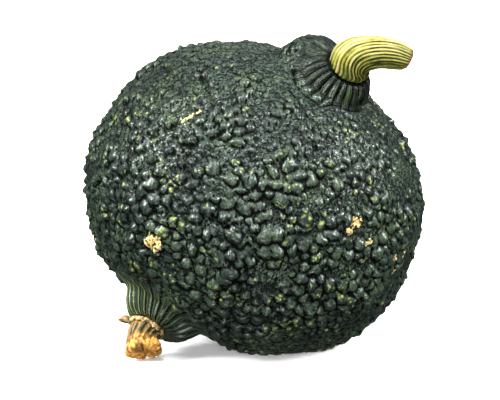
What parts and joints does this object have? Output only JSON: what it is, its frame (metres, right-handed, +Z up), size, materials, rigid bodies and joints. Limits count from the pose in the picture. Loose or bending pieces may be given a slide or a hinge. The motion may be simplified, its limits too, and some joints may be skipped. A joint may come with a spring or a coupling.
{
  "type": "hubbard squash",
  "caption": "Warted dark-green hubbard squash lying on its side, with an arched corky stem at one end and a withered flower at the other.",
  "frame": {"origin": "bottom centre of the whole part's box, on the surface it lies on", "axes": "+Z up, +X towards the side that the stem arches to, -Y towards the side that both ends lean to; the squash's long axis leans 29.5 degrees from upright"},
  "size_m": [0.2672, 0.2689, 0.2507],
  "materials": {
    "rind": "satin",
    "stem_cork": "matte",
    "dried_calyx": "matte",
    "dried_petal": "matte"
  },
  "bodies": {
    "root": {"fruit": "rind", "stem": "stem_cork", "dried_calyx": "dried_calyx", "dried_corolla": "dried_petal"}
  },
  "joints": []
}
